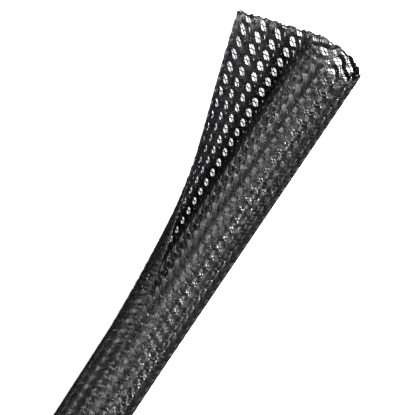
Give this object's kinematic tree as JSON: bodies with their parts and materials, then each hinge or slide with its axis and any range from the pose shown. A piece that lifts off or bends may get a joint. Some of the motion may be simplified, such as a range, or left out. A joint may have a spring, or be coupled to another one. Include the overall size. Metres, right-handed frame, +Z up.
{
  "type": "split braided cable sleeve",
  "caption": "Foot-long piece of black self-wrapping split braided sleeving that rolls closed around a cable bundle, with its lap sprung open at the cut mouth.",
  "frame": {"origin": "middle of the sleeve's box on the level floor it lies on", "axes": "+X along the sleeve towards its opened mouth, +Y the way the outer flap lies out, +Z up"},
  "size_m": [0.3082, 0.03, 0.0168],
  "materials": {
    "braid": "satin black polyester monofilament, open braid"
  },
  "bodies": {
    "root": {"braided_sleeve": "braid"}
  },
  "joints": []
}
